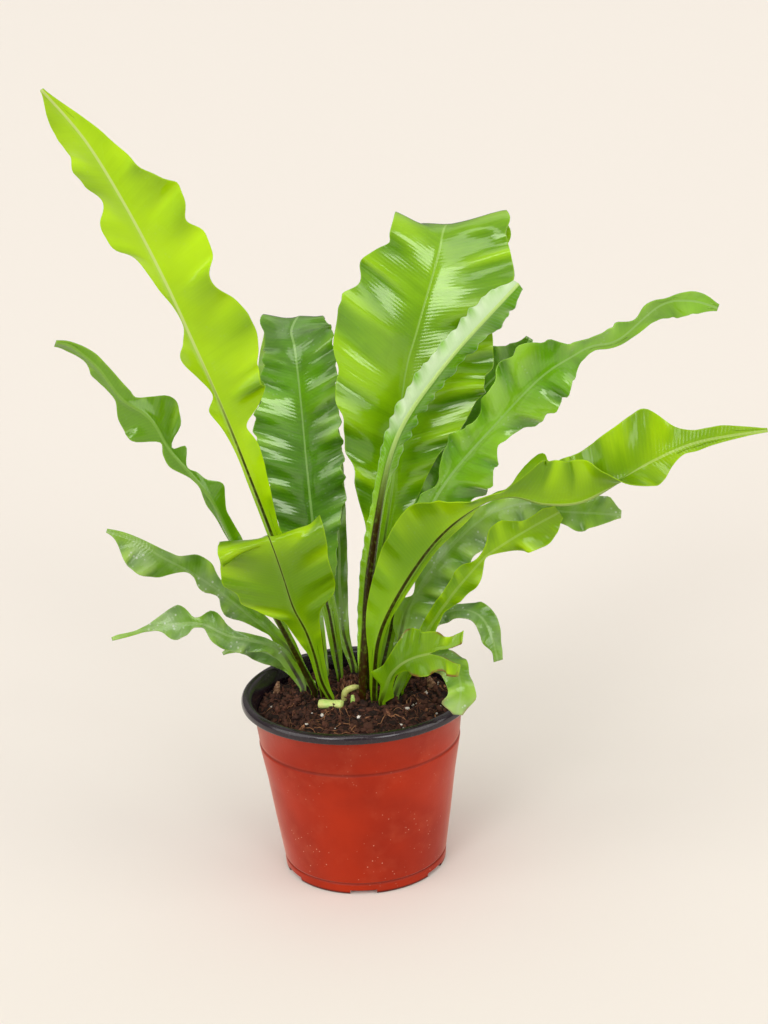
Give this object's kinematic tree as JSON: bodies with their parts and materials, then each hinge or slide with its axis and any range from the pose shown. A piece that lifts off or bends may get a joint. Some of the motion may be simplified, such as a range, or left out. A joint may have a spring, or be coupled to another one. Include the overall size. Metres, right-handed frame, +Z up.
{
  "type": "potted bird's nest fern",
  "caption": "Bird's nest fern with undivided wavy strap fronds growing from a brown crown, set in dark compost in a round tapered nursery pot with a rolled rim.",
  "frame": {"origin": "centre of the pot's flat underside, which stands on the table", "axes": "+Z up, +X to the right as the picture sees the plant, +Y away from the camera"},
  "size_m": [0.3896, 0.1842, 0.4756],
  "materials": {
    "pot_plastic": "matte red-brown moulded plastic with light scuffs, black on the inside and the rolled rim",
    "compost": "coarse fibrous peat compost with white grains",
    "crown_scales": "rough, covered with dry brown scales",
    "frond_bright": "satin yellow-green living leaf that lets light through",
    "frond_young": "glossy pale green young leaf, finely crinkled",
    "frond_green": "satin mid-green living leaf",
    "frond_dark": "glossy dark green living leaf",
    "frond_dusty": "grey-green living leaf with dried white water marks",
    "stub_flesh": "pale green plant flesh, dull",
    "bark": "rough pale brown bark"
  },
  "bodies": {
    "root": {"pot": "pot_plastic", "soil": "compost", "crown": "crown_scales", "frond_tall_left": "frond_bright", "frond_dark_upright": "frond_dark", "frond_centre_big": "frond_green", "frond_young_centre": "frond_young", "frond_right_upper": "frond_dark", "frond_right_behind": "frond_dark", "frond_right_long": "frond_bright", "frond_right_low": "frond_dusty", "frond_right_low_second": "frond_bright", "frond_right_droop": "frond_dusty", "frond_front_right_small": "frond_bright", "frond_front_right_under": "frond_dusty", "frond_front_left": "frond_bright", "frond_middle_left": "frond_green", "frond_left_low_upper": "frond_dusty", "frond_left_low_lower": "frond_dusty", "frond_left_back_low": "frond_dusty", "frond_left_back_sliver": "frond_dusty", "frond_back_centre": "frond_dusty", "frond_back_right_low": "frond_dusty", "cut_stub": "stub_flesh", "curled_stub": "stub_flesh", "sprout": "stub_flesh", "bark_chip_1": "bark", "bark_chip_2": "bark"}
  },
  "joints": []
}
